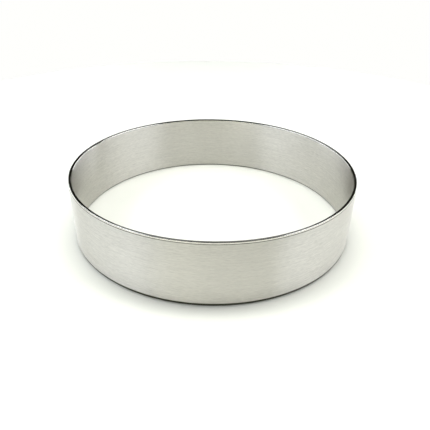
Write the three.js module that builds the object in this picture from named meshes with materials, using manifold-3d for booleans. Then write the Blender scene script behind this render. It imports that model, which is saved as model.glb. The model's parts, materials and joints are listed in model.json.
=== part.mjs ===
// Mousse ring: one stainless strip rolled to a hoop, its two ends joined by a butt weld
// that is dressed flush with both faces. Millimetres, +Z up.
// The origin is the centre of the hoop, on the surface that it stands on. The seam is at +Y.
import * as THREE from 'three';
import { mergeVertices } from 'three/addons/utils/BufferGeometryUtils.js';
import Module from 'manifold-3d';

// Driving dimensions: the ring is sized by its bore, which is the cake's diameter
const BORE_DIAMETER = 200;
const BAND_HEIGHT = 45;
const STRIP_THICKNESS = 2.5;

// Eased edges of the strip: how far they run along the wall and in from each face
const EDGE_EASE_HEIGHT = 1.2;
const EDGE_EASE_DEPTH = 0.7;

// Butt weld: how much of the hoop's length it takes up
const WELD_WIDTH = 2.5;

// How far the weld's cutting block reaches past the strip on every side
const CUT_OVERRUN = 1;

// Fineness of the facets: steps round the hoop, and pairs of steps on each eased edge
const HOOP_STEPS = 144;
const EDGE_STEP_PAIRS = 1;

const INNER_RADIUS = BORE_DIAMETER / 2;
const OUTER_RADIUS = INNER_RADIUS + STRIP_THICKNESS;

// Finishes
const brushedSteel = new THREE.MeshStandardMaterial({
  color: 0xc7c7bb,
  roughness: 0.35,
  metalness: 1,
});
const dressedWeld = new THREE.MeshStandardMaterial({
  color: 0xbfbdb0,
  roughness: 0.45,
  metalness: 1,
});

const wasm = await Module();
wasm.setup();

// A closed geometry as a solid that can be cut
function toSolid(geometry) {
  const bare = geometry.index ? geometry.toNonIndexed() : geometry.clone();
  bare.deleteAttribute('normal');
  bare.deleteAttribute('uv');
  const merged = mergeVertices(bare);
  return new wasm.Manifold(new wasm.Mesh({
    numProp: 3,
    vertProperties: new Float32Array(merged.attributes.position.array),
    triVerts: new Uint32Array(merged.index.array),
  }));
}

// A cut solid as a named mesh
function toMesh(solid, name, material) {
  const { vertProperties, triVerts } = solid.getMesh();
  const geometry = new THREE.BufferGeometry();
  geometry.setAttribute('position', new THREE.BufferAttribute(vertProperties, 3));
  geometry.setIndex(new THREE.BufferAttribute(triVerts, 1));
  geometry.computeVertexNormals();
  const mesh = new THREE.Mesh(geometry, material);
  mesh.name = name;
  return mesh;
}

// The strip's section, as radius and height, with its four edges eased.
// An eased edge never takes more than a third of the wall or of the height.
function stripSection() {
  const depth = Math.min(EDGE_EASE_DEPTH, STRIP_THICKNESS / 3);
  const rise = Math.min(EDGE_EASE_HEIGHT, BAND_HEIGHT / 3);
  const quarter = Math.PI / 2;
  const edges = [
    [OUTER_RADIUS - depth, rise, -quarter],
    [OUTER_RADIUS - depth, BAND_HEIGHT - rise, 0],
    [INNER_RADIUS + depth, BAND_HEIGHT - rise, quarter],
    [INNER_RADIUS + depth, rise, 2 * quarter],
  ];
  const section = new THREE.Path();
  for (const [radius, height, start] of edges) {
    section.absellipse(radius, height, depth, rise, start, start + quarter, false);
  }
  section.closePath();
  return section.getPoints(EDGE_STEP_PAIRS);
}

// The whole hoop, before the seam is cut out of it
function hoop() {
  const geometry = new THREE.LatheGeometry(stripSection(), HOOP_STEPS);
  geometry.rotateX(Math.PI / 2);
  return toSolid(geometry);
}

// The weld's share of the hoop: a block through the wall at +Y, over the full height
function weldBlock() {
  const depth = STRIP_THICKNESS + 2 * CUT_OVERRUN;
  const height = BAND_HEIGHT + 2 * CUT_OVERRUN;
  const geometry = new THREE.BoxGeometry(WELD_WIDTH, depth, height);
  geometry.translate(0, INNER_RADIUS + STRIP_THICKNESS / 2, BAND_HEIGHT / 2);
  return toSolid(geometry);
}

const wholeHoop = hoop();
const block = weldBlock();

const mousseRing = new THREE.Group();
mousseRing.add(toMesh(wholeHoop.subtract(block), 'rolled_band', brushedSteel));
mousseRing.add(toMesh(wholeHoop.intersect(block), 'seam_weld', dressedWeld));

export default mousseRing;
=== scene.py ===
import json
import math
from collections import namedtuple

import bpy
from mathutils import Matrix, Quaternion, Vector


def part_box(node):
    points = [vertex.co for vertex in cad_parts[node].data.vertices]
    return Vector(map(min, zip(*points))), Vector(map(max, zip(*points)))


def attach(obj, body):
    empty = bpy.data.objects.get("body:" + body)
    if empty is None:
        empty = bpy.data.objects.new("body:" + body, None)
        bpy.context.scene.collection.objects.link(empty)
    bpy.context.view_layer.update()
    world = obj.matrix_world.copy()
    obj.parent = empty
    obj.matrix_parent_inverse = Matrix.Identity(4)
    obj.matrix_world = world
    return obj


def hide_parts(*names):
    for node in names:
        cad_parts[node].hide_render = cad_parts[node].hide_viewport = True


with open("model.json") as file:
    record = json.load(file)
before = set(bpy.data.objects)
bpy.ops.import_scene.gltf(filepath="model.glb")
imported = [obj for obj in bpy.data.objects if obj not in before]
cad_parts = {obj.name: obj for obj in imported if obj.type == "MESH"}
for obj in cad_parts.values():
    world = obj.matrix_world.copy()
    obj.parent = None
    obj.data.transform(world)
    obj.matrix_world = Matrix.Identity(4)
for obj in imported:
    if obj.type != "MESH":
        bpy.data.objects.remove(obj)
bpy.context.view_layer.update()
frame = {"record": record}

# Sizes of the ring, in metres, taken from the frame
_, BAND_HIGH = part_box("rolled_band")
WELD_LOW, WELD_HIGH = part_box("seam_weld")
MOUNTS = {mount["name"]: mount for mount in frame["record"]["mounts"]}
OUTER_RADIUS = BAND_HIGH.x
BAND_HEIGHT = BAND_HIGH.z
MID_RADIUS = MOUNTS["base_rim"]["pos_m"][0]
STRIP_THICKNESS = 2 * (OUTER_RADIUS - MID_RADIUS)
WELD_WIDTH = WELD_HIGH.x - WELD_LOW.x

# Edges of the strip: a smooth land along the rim, set back by a small step, and rounded corners
LAND_HEIGHT = 0.00095
LAND_STEP_HEIGHT = 0.0006
LAND_STEP_DEPTH = 0.00014
RIM_EASE_HEIGHT = 0.0005
RIM_EASE_DEPTH = 0.0004
FOOT_EASE_HEIGHT = 0.0022
FOOT_EASE_DEPTH = 0.0007
INNER_EASE_HEIGHT = 0.0009
INNER_EASE_DEPTH = 0.0012

# The seam lies at +Y, where it takes up this much of the turn
SEAM_ANGLE = math.pi / 2
SEAM_HALF_ANGLE = math.asin(WELD_WIDTH / 2 / MID_RADIUS)

# Fineness of the meshes
BAND_STEPS = 320
WELD_STEPS = 4
EDGE_STEPS = 64
WALL_ROWS = 14

# Share of the thickness that a corner's points span before they are moved onto the worked edge
CORNER_SHARE = 0.125

# Stray of the rolled strip inwards from a true circle, its length, and the noise level that gives no stray
ROLL_RIPPLE = 0.00006
ROLL_RIPPLE_LENGTH = 0.045
ROLL_RIPPLE_TOP = 0.75
ROLL_RIPPLE_DETAIL = 1.0
ROLL_RIPPLE_SEED = 3.7

# Steel of the strip and of the weld, and a dark colour of painted shade on the foot and on the step below the
# land
STRIP_STEEL = (0.698, 0.683, 0.643)
WELD_STEEL = (0.688, 0.673, 0.633)
PAINTED_SHADE_COLOUR = (0.078, 0.077, 0.058)

# Share of the foot's rounded height at which its smooth edge and its painted shade start to fade
FOOT_EDGE_FADE_START = 0.8

# Finish: brushed walls that blur reflections up and down, and smooth ground edges
WALL_ROUGHNESS = 0.36
EDGE_ROUGHNESS = 0.06
BRUSH_ANISOTROPY = 1.0
BRUSH_TURN = 0.25

# Brush marks: their length round the hoop, their width up the wall, a seed, and their share in the grain
FINE_MARK_LENGTH = 0.0032
FINE_MARK_WIDTH = 0.00035
FINE_MARK_SEED = 1.3
FINE_MARK_SHARE = 1.35
BROAD_MARK_LENGTH = 0.02
BROAD_MARK_WIDTH = 0.0009
BROAD_MARK_SEED = 7.1
BROAD_MARK_SHARE = 0.75
MARK_DETAIL = 2.0
MARK_DETAIL_LEVEL = 0.6
NOISE_MIDDLE = 0.5

# What the grain does to the steel: its darkest and lightest tone, its roughness and its relief
GRAIN_DARK = 0.79
GRAIN_LIGHT = 1.2
GRAIN_WALL_ROUGHNESS = 0.12
GRAIN_EDGE_ROUGHNESS = 0.03
GRAIN_BUMP_STRENGTH = 0.05
GRAIN_BUMP_HEIGHT = 0.00005

# Floor: a round matt board, set back so that it reaches further behind the ring, and just clear of its foot
FLOOR_RADIUS = 0.42
FLOOR_SHIFT = 0.15
FLOOR_STEPS = 96
FLOOR_DROP = 0.00002
FLOOR_WHITE = (0.93, 0.934, 0.872)
FLOOR_DULL = 0.985
FLOOR_BRIGHT = 1.015
FLOOR_MOTTLE_LENGTH = 0.03
FLOOR_MOTTLE_DETAIL = 2.0
FLOOR_ROUGHNESS = 0.9
FLOOR_SHEEN = 0.1

# Room: nearly dark, apart from the backdrop that the camera sees
ROOM_DARK = (0.02, 0.019, 0.015)
BACKDROP_WHITE = (1.0, 1.0, 0.98)

# Tints of the softboxes, and the watts that give one square metre of softbox a brightness of 1
WARMEST = (1.0, 1.0, 0.875)
WARM = (0.985, 1.0, 0.95)
COOL = (0.985, 1.005, 1.045)
COOLEST = (0.965, 1.0, 1.06)
WATTS_PER_AREA = 4

# Softboxes above this elevation light the floor but leave no glint on the rim
OVERHEAD = 70

# Softboxes: degrees round from +X and up from the floor, then metres, then brightness, outline and tint
Softbox = namedtuple("Softbox", "name azimuth elevation distance width height brightness outline tint")
SOFTBOXES = [
    Softbox("overhead_middle", 90, 88.5, 0.95, 0.55, 0.22, 4.4, "ELLIPSE", WARM),
    Softbox("overhead_wide", 90, 88.5, 0.95, 1.0, 0.22, 3.1, "ELLIPSE", WARM),
    Softbox("overhead_back", 90, 80, 0.95, 0.6, 0.22, 3.6, "ELLIPSE", WARM),
    Softbox("left_low", 204, 6.5, 0.95, 1.7, 0.2, 1.3, "ELLIPSE", COOLEST),
    Softbox("left_high", 180, 46, 0.95, 1.3, 0.4, 1.95, "ELLIPSE", COOLEST),
    Softbox("left_front", 225, 46, 0.95, 0.9, 0.35, 0.4, "ELLIPSE", COOLEST),
    Softbox("left_back", 140, 9, 0.95, 0.9, 0.3, 1.95, "ELLIPSE", COOLEST),
    Softbox("right_low", 4, 6.5, 0.95, 1.9, 0.2, 1.3, "RECTANGLE", COOL),
    Softbox("right_middle", 4, 22, 0.95, 1.9, 0.32, 0.4, "ELLIPSE", COOL),
    Softbox("right_high", 12, 48, 0.95, 1.0, 0.35, 2.35, "ELLIPSE", COOL),
    Softbox("right_back", 58, 8, 0.95, 0.8, 0.24, 2.5, "ELLIPSE", COOLEST),
    Softbox("front_low", 279, 5.5, 1.2, 2.2, 0.22, 1.15, "RECTANGLE", WARMEST),
    Softbox("front_left", 250, 6, 1.2, 1.0, 0.22, 0.6, "ELLIPSE", WARMEST),
    Softbox("back_panel", 94, 39, 1.11, 0.75, 0.17, 0.2, "ELLIPSE", COOL),
    Softbox("front_middle", 281, 20, 1.2, 2.4, 0.4, 0.45, "ELLIPSE", WARMEST),
]

# Camera, from the rim and foot ellipses in the photograph: degrees, metres and pixels
CAMERA_AZIMUTH = 4.2
CAMERA_ELEVATION = 27.57
CAMERA_ROLL = 1.07
CAMERA_DISTANCE = 0.3438
AIM_RIGHT = 0.00205
AIM_UP = -0.0176
PHOTO_WIDTH_PX = 430
FOCAL_LENGTH_PX = 452.8
SENSOR_WIDTH_MM = 36.0
CLIP_START = 0.01

# Turns, in degrees
QUARTER_TURN = 90
FULL_TURN = 360


# Node trees

class Wire:
    """A socket of a node tree. Sums and products of wires add Math nodes, and node() adds any other."""

    def __init__(self, tree, socket=None):
        self.tree = tree
        self.socket = socket

    def node(self, kind, settings=None, inputs=None, output=0):
        """Adds a node, sets its settings, then its input values or links, and gives one of its outputs."""
        made = self.tree.nodes.new(kind)
        for name, value in (settings or {}).items():
            setattr(made, name, value)
        for key, value in (inputs or {}).items():
            target = find_socket(made.inputs, key)
            if isinstance(value, Wire):
                self.tree.links.new(value.socket, target)
            else:
                target.default_value = value
        return Wire(self.tree, find_socket(made.outputs, output)) if made.outputs else None

    def math(self, operation, *values):
        """Adds a Math node on wires or numbers."""
        return self.node("ShaderNodeMath", {"operation": operation}, dict(enumerate(values)))

    def __add__(self, other):
        return self.math("ADD", self, other)

    def __radd__(self, other):
        return self.math("ADD", other, self)

    def __sub__(self, other):
        return self.math("SUBTRACT", self, other)

    def __rsub__(self, other):
        return self.math("SUBTRACT", other, self)

    def __mul__(self, other):
        return self.math("MULTIPLY", self, other)

    def __rmul__(self, other):
        return self.math("MULTIPLY", other, self)

    def __truediv__(self, other):
        return self.math("DIVIDE", self, other)

    def __rtruediv__(self, other):
        return self.math("DIVIDE", other, self)


def find_socket(sockets, key):
    """A socket by its identifier, or else by its name or number."""
    for socket in sockets:
        if socket.identifier == key:
            return socket
    return sockets[key]


def ramp_between(wire, low, high):
    """0 below low, 1 above high, and smooth in between."""
    settings = {"interpolation_type": "SMOOTHSTEP"}
    return wire.node("ShaderNodeMapRange", settings, {"Value": wire, "From Min": low, "From Max": high})


def pick(choice, first, second):
    """The first value where the choice is 0, and the second where it is 1."""
    return first + choice * (second - first)


def mix_colours(choice, first, second):
    """The first colour where the choice is 0, the second where it is 1, and a mix in between."""
    return choice.node("ShaderNodeMix", {"data_type": "RGBA"}, {
        "Factor_Float": choice,
        "A_Color": first,
        "B_Color": second,
    }, output="Result_Color")


def shade(colour, level=1.0):
    """A plain opaque colour, made darker or lighter by a factor."""
    return (*[level * part for part in colour], 1.0)


def coordinate(place, axis):
    """One coordinate of a place: X, Y or Z."""
    return place.node("ShaderNodeSeparateXYZ", inputs={"Vector": place}, output=axis)


def level_part(place):
    """A place's vector from the hoop's axis, with its height left out."""
    return place.node("ShaderNodeVectorMath", {"operation": "MULTIPLY"}, {0: place, 1: (1.0, 1.0, 0.0)})


# The hoop of strip, as a tree of Geometry Nodes

# Sizes that the band and the weld share, by the name of the tree's input
HOOP_SIZES = {
    "Mid Radius": MID_RADIUS,
    "Strip Thickness": STRIP_THICKNESS,
    "Band Height": BAND_HEIGHT,
    "Land Height": LAND_HEIGHT,
    "Land Step Height": LAND_STEP_HEIGHT,
    "Land Step Depth": LAND_STEP_DEPTH,
    "Rim Ease Height": RIM_EASE_HEIGHT,
    "Rim Ease Depth": RIM_EASE_DEPTH,
    "Foot Ease Height": FOOT_EASE_HEIGHT,
    "Foot Ease Depth": FOOT_EASE_DEPTH,
    "Inner Ease Height": INNER_EASE_HEIGHT,
    "Inner Ease Depth": INNER_EASE_DEPTH,
    "Ripple": ROLL_RIPPLE,
    "Ripple Length": ROLL_RIPPLE_LENGTH,
}

# All inputs of the tree, with their kinds
HOOP_INPUTS = {
    **dict.fromkeys(HOOP_SIZES, "NodeSocketFloat"),
    "Edge Steps": "NodeSocketInt",
    "Wall Rows": "NodeSocketInt",
    "Start Angle": "NodeSocketFloat",
    "Sweep Angle": "NodeSocketFloat",
    "Steps": "NodeSocketInt",
    "Finish": "NodeSocketMaterial",
}


def strip_outline(ask, inputs, half_height, land_foot):
    """A rectangle as a curve, with close points along its edges and rows of points up its walls."""
    # Drawn with corners of radius 1, then scaled to the depth and height of an edge
    edge = ask.math("MAXIMUM", land_foot, inputs["Foot Ease Height"])
    depth = inputs["Strip Thickness"] * CORNER_SHARE
    rectangle = ask.node("GeometryNodeCurvePrimitiveQuadrilateral", {"mode": "RECTANGLE"}, {
        "Width": inputs["Strip Thickness"] / depth,
        "Height": inputs["Band Height"] / edge,
    })
    rounded = ask.node("GeometryNodeFilletCurve", {"mode": "POLY"}, {
        "Curve": rectangle,
        "Count": inputs["Edge Steps"],
        "Radius": 1.0,
    })
    scale = ask.node("ShaderNodeCombineXYZ", inputs={"X": depth, "Y": edge, "Z": 1.0})
    sized = ask.node("GeometryNodeTransform", inputs={"Geometry": rounded, "Scale": scale})
    domain = {"component": "CURVE"}
    count = ask.node("GeometryNodeAttributeDomainSize", domain, {"Geometry": sized}, output="Point Count")
    down = coordinate(ask.node("GeometryNodeInputPosition"), "Y")
    after = ask.node("GeometryNodeInputIndex") + 1
    following = ask.node("GeometryNodeFieldAtIndex", {"data_type": "FLOAT", "domain": "POINT"}, {
        "Index": ask.math("MODULO", after, count),
        "Value": down,
    })
    tall = ask.math("GREATER_THAN", ask.math("ABSOLUTE", following - down), half_height)
    rows = tall * inputs["Wall Rows"]
    return ask.node("GeometryNodeSubdivideCurve", inputs={"Curve": sized, "Cuts": rows})


def strip_section(ask, inputs):
    """The strip's section as a curve: its outline moved onto the land, the step and the rounded corners."""
    half_height = inputs["Band Height"] / 2
    land_foot = inputs["Land Height"] + inputs["Land Step Height"]
    outline = strip_outline(ask, inputs, half_height, land_foot)
    # The sweep turns the section's X outwards and its Y down the wall
    place = ask.node("GeometryNodeInputPosition")
    across = coordinate(place, "X")
    down = coordinate(place, "Y")
    step = ask.node("ShaderNodeMapRange", {"interpolation_type": "SMOOTHSTEP"}, {
        "Value": half_height + down,
        "From Min": inputs["Land Height"],
        "From Max": land_foot,
        "To Min": inputs["Land Step Depth"],
        "To Max": 0.0,
    })
    at_foot = ask.math("GREATER_THAN", down, 0.0)
    outside = ask.math("GREATER_THAN", across, 0.0)
    outer_height = pick(at_foot, inputs["Rim Ease Height"], inputs["Foot Ease Height"])
    outer_depth = pick(at_foot, inputs["Rim Ease Depth"], inputs["Foot Ease Depth"])
    ease_height = pick(outside, inputs["Inner Ease Height"], outer_height)
    ease_depth = pick(outside, inputs["Inner Ease Depth"], outer_depth)
    from_edge = half_height - ask.math("ABSOLUTE", down)
    to_corner = ask.math("MAXIMUM", 1 - from_edge / ease_height, 0.0)
    ease = (1 - ask.math("SQRT", 1 - to_corner * to_corner)) * ease_depth
    wall = inputs["Strip Thickness"] / 2 - step - ease
    worked = ask.node("ShaderNodeCombineXYZ", inputs={"X": wall * ask.math("SIGN", across), "Y": down})
    return ask.node("GeometryNodeSetPosition", inputs={"Geometry": outline, "Position": worked})


def stray_from_round(ask, inputs):
    """How far each point of the strip strays from a true circle, as a vector."""
    place = ask.node("GeometryNodeInputPosition")
    outward = ask.node("ShaderNodeVectorMath", {"operation": "NORMALIZE"}, {0: level_part(place)})
    noise = ask.node("ShaderNodeTexNoise", {"noise_dimensions": "4D"}, {
        "Vector": place,
        "W": ROLL_RIPPLE_SEED,
        "Scale": 1 / inputs["Ripple Length"],
        "Detail": ROLL_RIPPLE_DETAIL,
    })
    stray = (noise - ROLL_RIPPLE_TOP) * inputs["Ripple"]
    return ask.node("ShaderNodeVectorMath", {"operation": "SCALE"}, {0: outward, "Scale": stray})


def hoop_tree():
    """A strip bent round the Z axis from one angle through another, standing on the floor."""
    tree = bpy.data.node_groups.new("hoop_of_strip", "GeometryNodeTree")
    for name, kind in HOOP_INPUTS.items():
        tree.interface.new_socket(name, in_out="INPUT", socket_type=kind)
    tree.interface.new_socket("Geometry", in_out="OUTPUT", socket_type="NodeSocketGeometry")
    ask = Wire(tree)
    source = tree.nodes.new("NodeGroupInput")
    inputs = {name: Wire(tree, source.outputs[name]) for name in HOOP_INPUTS}
    path = ask.node("GeometryNodeCurveArc", {"mode": "RADIUS"}, {
        "Resolution": inputs["Steps"],
        "Radius": inputs["Mid Radius"],
        "Start Angle": inputs["Start Angle"],
        "Sweep Angle": inputs["Sweep Angle"],
    })
    swept = ask.node("GeometryNodeCurveToMesh", inputs={
        "Curve": path,
        "Profile Curve": strip_section(ask, inputs),
        "Fill Caps": True,
    })
    lift = ask.node("ShaderNodeCombineXYZ", inputs={"Z": inputs["Band Height"] / 2})
    standing = ask.node("GeometryNodeTransform", inputs={"Geometry": swept, "Translation": lift})
    moved = ask.node("GeometryNodeSetPosition", inputs={
        "Geometry": standing,
        "Offset": stray_from_round(ask, inputs),
    })
    smooth = ask.node("GeometryNodeSetShadeSmooth", inputs={"Geometry": moved})
    whole = ask.node("GeometryNodeRealizeInstances", inputs={"Geometry": smooth})
    finished = ask.node("GeometryNodeSetMaterial", inputs={
        "Geometry": whole,
        "Material": inputs["Finish"],
    })
    result = tree.nodes.new("NodeGroupOutput")
    tree.links.new(finished.socket, result.inputs["Geometry"])
    return tree


def bent_strip(tree, name, start, sweep, steps, finish):
    """A stretch of the hoop as a plain mesh object."""
    values = {
        **HOOP_SIZES,
        "Edge Steps": EDGE_STEPS,
        "Wall Rows": WALL_ROWS,
        "Start Angle": start,
        "Sweep Angle": sweep,
        "Steps": steps,
        "Finish": finish,
    }
    piece = bpy.data.objects.new(name, bpy.data.meshes.new(name))
    bpy.context.scene.collection.objects.link(piece)
    modifier = piece.modifiers.new("hoop", "NODES")
    modifier.node_group = tree
    for item in tree.interface.items_tree:
        if item.in_out == "INPUT":
            modifier[item.identifier] = values[item.name]
    depsgraph = bpy.context.evaluated_depsgraph_get()
    mesh = bpy.data.meshes.new_from_object(piece.evaluated_get(depsgraph), depsgraph=depsgraph)
    piece.modifiers.remove(modifier)
    piece.data = mesh
    mesh.name = name
    # One texture space for both pieces keeps the brushing's direction even across the seam
    mesh.use_auto_texspace = False
    mesh.texspace_location = (0.0, 0.0, BAND_HEIGHT / 2)
    mesh.texspace_size = (OUTER_RADIUS, OUTER_RADIUS, BAND_HEIGHT / 2)
    return piece


# Finishes

def new_material(name):
    """An empty node material and a wire to build it with."""
    material = bpy.data.materials.new(name)
    material.use_nodes = True
    material.node_tree.nodes.clear()
    return material, Wire(material.node_tree)


def brush_marks(ask, place, length, width, seed):
    """Noise drawn out round the hoop: long on the level, short up the wall."""
    stretched = ask.node("ShaderNodeMapping", inputs={
        "Vector": place,
        "Location": (seed, seed, seed),
        "Scale": (1 / length, 1 / length, 1 / width),
    })
    return ask.node("ShaderNodeTexNoise", inputs={
        "Vector": stretched,
        "Scale": 1.0,
        "Detail": MARK_DETAIL,
        "Roughness": MARK_DETAIL_LEVEL,
    })


def edge_masks(ask, place):
    """Where the land, the step below it outside, and the foot lie, each from 0 to 1; the step and the foot
    get painted shade.
    """
    height = coordinate(place, "Z")
    radius = ask.node("ShaderNodeVectorMath", {"operation": "LENGTH"}, {0: level_part(place)}, output="Value")
    outside = ask.math("GREATER_THAN", radius, MID_RADIUS)
    land = BAND_HEIGHT - LAND_HEIGHT
    on_land = ramp_between(height, land - LAND_STEP_HEIGHT, land)
    # The factor of 4 brings the middle of the step to 1, where a dark line of painted shade goes
    in_step = 4 * on_land * (1 - on_land) * outside
    # The foot's mask gives both its smooth edge and its painted shade, darkest at the floor
    foot_height = outside * (FOOT_EASE_HEIGHT - INNER_EASE_HEIGHT) + INNER_EASE_HEIGHT
    at_foot = 1 - ramp_between(height / foot_height, FOOT_EDGE_FADE_START, 1.0)
    return on_land, in_step, at_foot


def brushed_steel(name, colour):
    """Steel brushed round the hoop, with its edges ground smooth, and painted shade darkening its foot and
    the step below the land.
    """
    material, ask = new_material(name)
    place = ask.node("ShaderNodeTexCoord", output="Object")
    on_land, in_step, at_foot = edge_masks(ask, place)
    fine = brush_marks(ask, place, FINE_MARK_LENGTH, FINE_MARK_WIDTH, FINE_MARK_SEED)
    broad = brush_marks(ask, place, BROAD_MARK_LENGTH, BROAD_MARK_WIDTH, BROAD_MARK_SEED)
    grain = (fine - NOISE_MIDDLE) * FINE_MARK_SHARE + (broad - NOISE_MIDDLE) * BROAD_MARK_SHARE
    brushed = mix_colours(grain + NOISE_MIDDLE, shade(colour, GRAIN_DARK), shade(colour, GRAIN_LIGHT))
    # Painted shade: the base colour is darkened on the foot, where the shadowed floor would be reflected, and
    # along the step, where its shading falls
    tone = mix_colours(ask.math("MAXIMUM", in_step, at_foot), brushed, shade(PAINTED_SHADE_COLOUR))
    wall = ask.node("ShaderNodeBsdfPrincipled", inputs={
        "Base Color": tone,
        "Metallic": 1.0,
        "Roughness": WALL_ROUGHNESS + grain * GRAIN_WALL_ROUGHNESS,
        "Anisotropic": BRUSH_ANISOTROPY,
        "Anisotropic Rotation": BRUSH_TURN,
        "Normal": ask.node("ShaderNodeBump", inputs={
            "Height": fine,
            "Strength": GRAIN_BUMP_STRENGTH,
            "Distance": GRAIN_BUMP_HEIGHT,
        }),
    })
    edge = ask.node("ShaderNodeBsdfPrincipled", inputs={
        "Base Color": tone,
        "Metallic": 1.0,
        "Roughness": EDGE_ROUGHNESS + grain * GRAIN_EDGE_ROUGHNESS,
    })
    at_edge = ask.math("MAXIMUM", on_land, at_foot)
    finish = ask.node("ShaderNodeMixShader", inputs={"Fac": at_edge, 1: wall, 2: edge})
    ask.node("ShaderNodeOutputMaterial", inputs={"Surface": finish})
    return material


def floor_white():
    """Matt white board with a faint mottle."""
    material, ask = new_material("floor_white")
    mottle = ask.node("ShaderNodeTexNoise", inputs={
        "Vector": ask.node("ShaderNodeTexCoord", output="Object"),
        "Scale": 1 / FLOOR_MOTTLE_LENGTH,
        "Detail": FLOOR_MOTTLE_DETAIL,
    })
    board = ask.node("ShaderNodeBsdfPrincipled", inputs={
        "Base Color": mix_colours(mottle, shade(FLOOR_WHITE, FLOOR_DULL), shade(FLOOR_WHITE, FLOOR_BRIGHT)),
        "Roughness": FLOOR_ROUGHNESS,
        "Specular IOR Level": FLOOR_SHEEN,
    })
    ask.node("ShaderNodeOutputMaterial", inputs={"Surface": board})
    return material


# Stage

def direction(azimuth, elevation):
    """A unit vector, from degrees round from +X and up from the floor."""
    turn = math.radians(azimuth)
    rise = math.radians(elevation)
    return Vector((math.cos(turn) * math.cos(rise), math.sin(turn) * math.cos(rise), math.sin(rise)))


def lay_floor():
    """A round white floor under the ring; the backdrop shows beyond it."""
    middle = Vector((0.0, FLOOR_SHIFT, -FLOOR_DROP))
    turns = [FULL_TURN * step / FLOOR_STEPS for step in range(FLOOR_STEPS)]
    rim = [middle + direction(turn, 0) * FLOOR_RADIUS for turn in turns]
    mesh = bpy.data.meshes.new("floor")
    mesh.from_pydata(rim, [], [range(FLOOR_STEPS)])
    mesh.materials.append(floor_white())
    floor = bpy.data.objects.new("floor", mesh)
    bpy.context.scene.collection.objects.link(floor)


def hang_softbox(box):
    """A soft lamp facing the ring: hidden from the camera, and from reflections if it is overhead."""
    data = bpy.data.lights.new(box.name, "AREA")
    data.shape = box.outline
    data.size = box.width
    data.size_y = box.height
    data.energy = WATTS_PER_AREA * box.width * box.height * box.brightness
    data.color = box.tint
    lamp = bpy.data.objects.new(box.name, data)
    toward = direction(box.azimuth, box.elevation)
    lamp.location = toward * box.distance
    lamp.rotation_mode = "QUATERNION"
    lamp.rotation_quaternion = (-toward).to_track_quat("-Z", "Y")
    lamp.visible_camera = False
    lamp.visible_glossy = box.elevation < OVERHEAD
    bpy.context.scene.collection.objects.link(lamp)


def light_studio():
    """A dark room with softboxes round the ring; the camera alone sees a pale backdrop."""
    world = bpy.data.worlds.new("studio")
    world.use_nodes = True
    world.node_tree.nodes.clear()
    ask = Wire(world.node_tree)
    from_camera = ask.node("ShaderNodeLightPath", output="Is Camera Ray")
    tint = mix_colours(from_camera, shade(ROOM_DARK), shade(BACKDROP_WHITE))
    background = ask.node("ShaderNodeBackground", inputs={"Color": tint, "Strength": 1.0})
    ask.node("ShaderNodeOutputWorld", inputs={"Surface": background})
    bpy.context.scene.world = world
    for box in SOFTBOXES:
        hang_softbox(box)


def place_camera():
    """The photograph's view: distance, height and aim about the middle of the ring."""
    back = direction(CAMERA_AZIMUTH - QUARTER_TURN, CAMERA_ELEVATION)
    right = direction(CAMERA_AZIMUTH, 0)
    upward = back.cross(right)
    middle = Vector((0.0, 0.0, BAND_HEIGHT / 2))
    aim = middle + right * AIM_RIGHT + upward * AIM_UP
    data = bpy.data.cameras.new("camera")
    data.sensor_width = SENSOR_WIDTH_MM
    data.lens = SENSOR_WIDTH_MM * FOCAL_LENGTH_PX / PHOTO_WIDTH_PX
    data.clip_start = CLIP_START
    camera = bpy.data.objects.new("camera", data)
    camera.location = middle + back * CAMERA_DISTANCE
    camera.rotation_mode = "QUATERNION"
    roll = Quaternion((0.0, 0.0, 1.0), math.radians(CAMERA_ROLL))
    camera.rotation_quaternion = (aim - camera.location).to_track_quat("-Z", "Y") @ roll
    bpy.context.scene.collection.objects.link(camera)
    bpy.context.scene.camera = camera


# The ring

def make_ring():
    """The band and the weld that closes it, each in place of its plain solid."""
    tree = hoop_tree()
    band_finish = brushed_steel("brushed_strip", STRIP_STEEL)
    band_start = SEAM_ANGLE + SEAM_HALF_ANGLE
    band_sweep = 2 * math.pi - 2 * SEAM_HALF_ANGLE
    band = bent_strip(tree, "brushed_band", band_start, band_sweep, BAND_STEPS, band_finish)
    weld_finish = brushed_steel("dressed_weld", WELD_STEEL)
    weld_start = SEAM_ANGLE - SEAM_HALF_ANGLE
    weld_sweep = 2 * SEAM_HALF_ANGLE
    weld = bent_strip(tree, "flush_weld", weld_start, weld_sweep, WELD_STEPS, weld_finish)
    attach(band, "root")
    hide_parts("rolled_band")
    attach(weld, "root")
    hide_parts("seam_weld")


bpy.context.scene.view_settings.view_transform = "Standard"
lay_floor()
light_studio()
place_camera()
make_ring()
